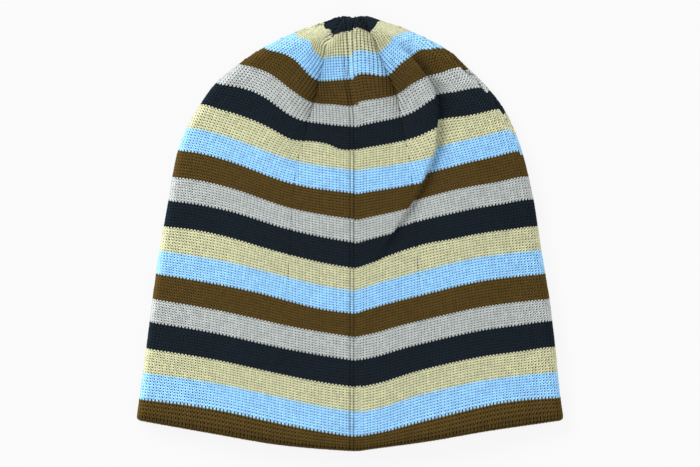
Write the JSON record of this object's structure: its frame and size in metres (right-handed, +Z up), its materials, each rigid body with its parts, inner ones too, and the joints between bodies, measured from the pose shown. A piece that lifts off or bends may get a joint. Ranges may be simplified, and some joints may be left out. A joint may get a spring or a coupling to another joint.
{
  "type": "striped knitted skull cap",
  "caption": "Cuffless knitted skull cap with cross stripes, lying flat, hollow and open at the hem, with a back seam and a darted crown.",
  "frame": {"origin": "on the ground under the middle of the lying cap", "axes": "+Z up out of the cap's back, +Y from the open hem to the crown, +X to the side that is on the right when the back is seen with the crown upwards"},
  "size_m": [0.22, 0.2256, 0.0242],
  "materials": {
    "striped_knit": "matt fine plain knit, cross stripes of navy, beige, light blue, brown and grey"
  },
  "bodies": {
    "root": {"knit_shell": "striped_knit"}
  },
  "joints": []
}
